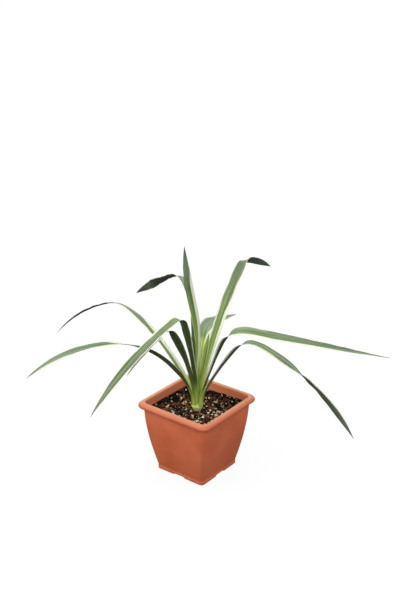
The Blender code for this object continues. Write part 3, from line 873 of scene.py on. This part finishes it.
# %% Leaf patterns
Pattern = namedtuple("Pattern", "left right wax")
PATTERNS = {
    "leaf_heart": Pattern(((0, 0.7),), ((0, 0.75),), ((0, -1.0),)),
    "leaf_upright": Pattern(
        ((0, 0.9), (1, 1.0)),
        ((0, 0.6), (0.3, 0.42), (0.75, 0.42), (0.9, 1.0)),
        ((0, -0.9), (0.2, -0.6), (0.5, -0.25), (0.7, -0.1), (0.85, 0.9)),
    ),
    "leaf_front_tall": Pattern(
        ((0, 0.8), (0.47, 0.85), (0.58, 0.75), (0.85, 0.92)),
        ((0, 0.8), (0.46, 0.9), (0.55, 0.8), (0.64, 0.72), (0.8, 0.9)),
        ((0, -1.0), (0.2, -0.5), (0.42, -0.4), (0.5, 0), (0.62, 0.3), (0.78, 0.15), (1, -0.1)),
    ),
    "leaf_back_tall": Pattern(((0, 0.85),), ((0, 0.85),), ((0.3, 0), (0.5, 0.55))),
    "leaf_front_short": Pattern(
        ((0, 0.85),),
        ((0, 0.85), (0.64, 0.8), (0.72, 0.2), (1, 0.6)),
        ((0, -0.9), (0.2, -0.5), (0.6, -0.3), (0.66, 0.3)),
    ),
    "leaf_right_tall": Pattern(
        ((0, 0.7), (0.2, 0.8), (0.45, 0.8), (0.6, 0.85), (0.7, 1.0)),
        ((0, 0.7), (0.2, 0.38), (0.42, 0.40), (0.6, 0.72), (0.7, 1.0)),
        ((0, -0.6), (0.3, -0.1), (0.4, 0), (0.7, 0.1), (0.8, 1.0)),
    ),
    "leaf_left": Pattern(
        ((0, 0.9), (0.36, 0.9), (0.5, 0.2), (0.6, 0.4), (0.8, 0.6)),
        ((0, 0.9), (0.38, 0.9), (0.52, 0.1), (0.62, 0.8), (1, 0.9)),
        ((0.42, 0), (0.52, 0.4), (0.7, 0.8)),
    ),
    "leaf_back": Pattern(
        ((0, 0.8), (1, 0.9)),
        ((0, 0.6), (0.3, 0.4), (0.5, 0.8)),
        ((0, -0.6), (0.28, -1), (0.38, 1), (1, 0.8)),
    ),
    "leaf_right": Pattern(
        ((0, 0.85), (0.4, 0.95)),
        ((0, 0.7), (0.4, 0.55), (0.6, 0.5), (0.75, 0.55), (0.9, 0.9)),
        ((0.32, 0), (0.38, 0.9), (0.5, 0.2)),
    ),
    "leaf_back_left": Pattern(
        ((0, 0.85), (1, 0.9)),
        ((0, 0.4), (0.1, 0.2), (0.38, 0.15), (0.48, 0.7), (1, 0.8)),
        ((0.38, 0.2), (0.5, 1.0)),
    ),
    "leaf_front_right": Pattern(
        ((0, 0.9), (1, 0.95)),
        ((0, 0.7), (0.35, 0.6), (0.5, 0.4), (0.62, 0.6), (1, 0.9)),
        ((0, 0.5), (0.3, 0.8), (0.4, 0.9), (0.6, 0.4)),
    ),
}
print("patterns for", len(PATTERNS), "leaves")

# %% [markdown]
# The centre line is a running sum of small steps. Each step climbs at an angle that starts straight up, opens
# to the launch angle, sags more and more with the distance, and takes one sharper fold.

# %% Centre line of a leaf
BEND_OUT = 0.035
LEAF_ROWS = 224


def follow_keys(places, keys):
    """A value along the leaf that moves smoothly from each key to the next."""
    value = np.full(places.shape, float(keys[0][1]))
    for (start, before), (end, after) in zip(keys[:-1], keys[1:]):
        value += (after - before) * ease((places - start) / (end - start))
    return value


def leaf_spine(leaf):
    """Distance along the leaf, its centre line, and the directions across it and out of its face."""
    s = np.linspace(0.0, leaf.length, LEAF_ROWS + 1)
    u = s / leaf.length
    climb = 90 - (90 - leaf.launch) * ease(s / BEND_OUT) - leaf.droop * u**1.5
    climb = np.radians(climb - leaf.fold * ease((u - leaf.fold_at) / leaf.fold_span + 0.5))
    turn = np.radians(leaf.heading + leaf.swerve * u**2)
    along = np.column_stack([np.cos(climb) * np.cos(turn), np.cos(climb) * np.sin(turn), np.sin(climb)])
    steps = (along[1:] + along[:-1]) / 2 * s[1]
    base = np.radians(leaf.heading)
    start = np.array([STEM_X, STEM_Y, ring_height(leaf.ring)])
    start[:2] += ring_radius(leaf.ring) * np.array([np.cos(base), np.sin(base)])
    points = start + np.vstack([np.zeros(3), np.cumsum(steps, axis=0)])
    across = np.column_stack([-np.sin(turn), np.cos(turn), np.zeros(len(turn))])
    upward = np.cross(along, across)
    roll = np.radians(follow_keys(u, leaf.rolls))[:, None]
    rolled_across = across * np.cos(roll) + upward * np.sin(roll)
    rolled_upward = upward * np.cos(roll) - across * np.sin(roll)
    return s, points, rolled_across, rolled_upward


print("highest leaf tip in mm:", max(round(1000 * leaf_spine(leaf)[1][-1, 2]) for leaf in LEAVES.values()))

# %% [markdown]
# A leaf is as wide at its base as the part of the stem that it clasps. It grows to its full width, keeps it
# and tapers to a hard point.

# %% Width of a leaf
# Half the angle, in degrees, over which the leaf bases of each ring clasp the stem
RING_CLASP = {1: 66, 2: 62, 3: 57, 4: 50, 5: 44, 6: 38}
WIDEST_FROM = 0.42
WIDEST_TO = 0.72
TAPER = 2.0
TIP_WIDTH = 0.0014
POINT_WIDTH = 0.0005
POINT_SHARE = 0.03


def leaf_width(leaf, s):
    """Width along the leaf: it grows from the clasping base, stays, and tapers to the point."""
    u = s / leaf.length
    base_width = 2 * ring_radius(leaf.ring) * np.radians(RING_CLASP[leaf.ring])
    grow = base_width + (leaf.width - base_width) * ease(u / WIDEST_FROM)
    taper = 1 - np.clip((u - WIDEST_TO) / (1 - WIDEST_TO), 0.0, 1.0) ** TAPER
    point = POINT_WIDTH + (TIP_WIDTH - POINT_WIDTH) * np.clip((1 - u) / POINT_SHARE, 0.0, 1.0)
    return np.maximum(grow * taper, point)


print("widest leaf in mm:", max(round(1000 * leaf.width, 1) for leaf in LEAVES.values()))

# %% [markdown]
# Round each cross-section the outline runs along the upper face from the right margin to the left one and
# back along the lower face. The blade is thickest in its middle and rounds off to nothing at its margins.
# The margins also wave a little, as they do on a real leaf. The mesh keeps a few numbers for each point, such
# as how far it lies from the edge of the green.

# %% Leaf blade
LEAF_COLUMNS = 20
CHANNEL_LENGTH = 0.12
CHANNEL_OPEN = 26
CHANNEL_TIP = 12
TIP_THINNING = 0.4
WAVE_HEIGHT = 0.0005
WAVE_FROM = 0.10
WAVE_GROWTH = 0.06
WAVE_PITCHES = (0.022, 0.040)
WAVE_SWELL = 0.13
# The edge of the green wanders by a share of the half width: two waves, with their heights and lengths
WANDER = ((0.05, 0.11), (0.03, 0.043))


def leaf_mesh(name, leaf, pattern, seed):
    """The closed blade, with the numbers that its finish reads.

    Its section is an arc of the width w and the half angle a: a point at v, from -1 to 1, lies
    w / 2 * sin(a v) / a aside and w / 2 * (1 - cos(a v)) / a up, plus or minus half the thickness there.
    """
    rng = np.random.default_rng(seed)
    s, centre, across, upward = leaf_spine(leaf)
    u = s / leaf.length
    width = leaf_width(leaf, s)
    clasp = np.radians(RING_CLASP[leaf.ring])
    blade = np.radians(CHANNEL_OPEN + (CHANNEL_TIP - CHANNEL_OPEN) * u)
    angle = (blade + (clasp - blade) * (1 - ease(s / CHANNEL_LENGTH)))[:, None]
    round_trip = np.linspace(0.0, 2 * np.pi, 2 * LEAF_COLUMNS, endpoint=False)
    v = -np.cos(round_trip)[None, :]
    face = np.sign(np.round(np.sin(round_trip), 6))[None, :]
    thick = THICKNESS * (1 - TIP_THINNING * u**2)[:, None] * np.sqrt(np.clip(1 - v**6, 0.0, 1.0)) / 2
    wave_room = ease((s - WAVE_FROM) / WAVE_GROWTH) * ease((1 - u) / 0.25)
    wave = np.zeros((len(s), 2 * LEAF_COLUMNS))
    for side in (-1, 1):
        pitch, phase = rng.uniform(*WAVE_PITCHES), rng.uniform(0, 2 * np.pi)
        swell = 0.5 + 0.5 * np.sin(2 * np.pi * s / WAVE_SWELL + 2 * phase)
        swing = np.sin(2 * np.pi * s / pitch + phase) * swell
        wave += (WAVE_HEIGHT * wave_room * swing)[:, None] * np.clip(side * v, 0.0, 1.0) ** 3
    aside = width[:, None] / 2 * np.sin(angle * v) / angle
    lift = width[:, None] / 2 * (1 - np.cos(angle * v)) / angle
    normal = upward[:, None] * np.cos(angle * v)[..., None] - across[:, None] * np.sin(angle * v)[..., None]
    points = centre[:, None] + across[:, None] * aside[..., None] + upward[:, None] * lift[..., None]
    points += normal * (face * thick + wave)[..., None]
    mesh = tube_mesh(name, points, points[0].mean(axis=0), points[-1].mean(axis=0))
    (slow_height, slow_length), (quick_height, quick_length) = WANDER
    drift = slow_height * np.sin(2 * np.pi * s / slow_length + rng.uniform(0, 6))
    drift += quick_height * np.sin(2 * np.pi * s / quick_length)
    left, right = follow_keys(u, pattern.left) + drift, follow_keys(u, pattern.right) + drift
    edge = np.where(v > 0, left[:, None], right[:, None])
    stored = {
        "rim": np.abs(v) - edge, "along": s[:, None], "across": v * width[:, None] / 2, "place": u[:, None],
        "face": face, "seed": np.array([[float(seed)]]), "wax": follow_keys(u, pattern.wax)[:, None],
    }
    for key, values in stored.items():
        flat = np.broadcast_to(values, wave.shape).ravel()
        store(mesh, key, np.append(flat, [flat[0], flat[-1]]))
    return mesh


print("a blade has", LEAF_ROWS + 1, "sections of", 2 * LEAF_COLUMNS, "points")

# %% [markdown]
# The blade is striped along its length: a green middle, greyer further out, cream margins, and a pale base
# where it clasps the stem. The finish reads the numbers that the mesh keeps, so the stripes bend with the
# leaf. Fine random streaks, a hundred times longer than wide, break up every boundary.

# %% Leaf finish: streaks
leaf_material, tree, shader = new_material("leaf_blade")
along, across, rim = read(tree, "along"), read(tree, "across"), read(tree, "rim")
place, face, seed = read(tree, "place"), read(tree, "face"), read(tree, "seed")


def streaks(over_width, over_length):
    """Random streaks along the blade, with so many lumps to the metre across it and along it."""
    x, y = times(tree, across, over_width), times(tree, along, over_length)
    return step(tree, noise(tree, add(tree, "CombineXYZ", X=x, Y=y, Z=seed), 1.0, 2.0), 0.30, 0.70)


fine, broad = streaks(2600.0, 14.0), streaks(340.0, 7.0)
uneven = math(tree, "SUBTRACT", fine, 0.5)
shift = plus(tree, times(tree, broad, 0.16), times(tree, fine, 0.08))
ragged = math(tree, "SUBTRACT", plus(tree, rim, shift), 0.12)
base = plus(tree, along, times(tree, uneven, 0.012))
print("streaks:", len(tree.nodes), "nodes")

# %% [markdown]
# The green of the upper face is fresh near the stem and a greyer sage further out. Over it lies a pale bloom,
# partly the leaf's own wax and partly a painted sheen where the leaf bends towards the sky. Where the bloom's
# numbers are below 0 the green is painted livelier, as painted light on parts in shade. The base is a pale
# yellow green.

# %% Leaf finish: green
outward = step(tree, along, 0.09, 0.26)
fresh = mix(tree, broad, screen(66, 106, 24), screen(140, 170, 68))
sage = mix(tree, broad, screen(54, 78, 38), screen(122, 140, 98))
green = mix(tree, outward, fresh, sage)
green = mix(tree, times(tree, fine, 0.25), green, screen(134, 152, 92))
wax = read(tree, "wax")
# painted sheen, partly real bloom: the upper face turns pale grey where the numbers are above 0
bloom_and_painted_sheen = times(tree, wax, plus(tree, 0.35, times(tree, broad, 0.4)))
green = mix(tree, bloom_and_painted_sheen, green, screen(140, 158, 134))
# painted light: where the numbers are below 0 the green is brightened on parts in shade
painted_light_green = mix(tree, broad, screen(116, 160, 40), screen(202, 220, 100))
green = mix(tree, times(tree, wax, -1.0), green, painted_light_green)
green = mix(tree, step(tree, base, 0.070, 0.008), green, screen(176, 204, 84))
print("with the green:", len(tree.nodes), "nodes")

# %% [markdown]
# The margins are cream, and between the green and the cream runs a strip that is half of each. The
# underside is a dull green painted near black as painted shade. It is painted lighter where the upper face has
# its bloom and painted sheen, and greener where that face is painted livelier. The tip dries to brown.

# %% Leaf finish: margins, underside and tip
cream = mix(tree, fine, screen(246, 247, 226), screen(226, 231, 194))
cream = mix(tree, step(tree, base, 0.085, 0.020), cream, screen(186, 206, 98))
upper = mix(tree, step(tree, ragged, -0.10, 0.02), green, mix(tree, 0.5, green, cream))
upper = mix(tree, step(tree, ragged, 0.0, 0.08), upper, cream)
# painted shade: the underside's dull green is painted far darker than the leaf's own
underside_painted_shade = mix(tree, fine, screen(22, 34, 20), screen(48, 66, 40))
underside_painted_shade = mix(tree, times(tree, broad, 0.65), underside_painted_shade, screen(98, 118, 78))
# painted light: the underside is made paler where the numbers are above 0 and greener where they are below 0
underside_painted_shade = mix(tree, times(tree, wax, 0.5), underside_painted_shade, screen(124, 138, 120))
underside_painted_shade = mix(tree, times(tree, wax, -0.5), underside_painted_shade, screen(108, 138, 54))
underside_painted_shade = mix(tree, step(tree, base, 0.048, 0.004), underside_painted_shade, screen(168, 194, 84))
margin = step(tree, ragged, 0.02, 0.10)
lower = mix(tree, margin, underside_painted_shade, cream)
color = mix(tree, step(tree, face, 0.3, -0.3), upper, lower)
tip = plus(tree, place, times(tree, uneven, 0.03))
color = mix(tree, times(tree, step(tree, tip, 0.90, 0.985), 0.6), color, screen(104, 100, 86))
color = mix(tree, step(tree, tip, 0.98, 0.998), color, screen(74, 54, 40))
join(tree, shader, Base_Color=color, Roughness=0.40, Specular_IOR_Level=0.5)
clear = plus(tree, 0.05, times(tree, margin, 0.25))
join(tree, shader, Subsurface_Weight=clear, Subsurface_Radius=(1.0, 1.0, 0.9), Subsurface_Scale=0.002)
bump(tree, shader, fine, 0.00008)
print("whole leaf finish:", len(tree.nodes), "nodes")

# %% [markdown]
# Each leaf has a seed, which sets its streaks and the waves of its margins. Seeds that follow one another
# serve all of them but one, whose own seed gives it dark and pale stripes like those in the photograph.

# %% The leaves
FIRST_SEED = 21
OWN_SEEDS = {"leaf_right_tall": 74}
for number, (name, leaf) in enumerate(LEAVES.items()):
    mesh = leaf_mesh(name, leaf, PATTERNS[name], OWN_SEEDS.get(name, FIRST_SEED + number))
    put_in(name + "_blade", mesh, "leaf_blade", leaf_material, name)
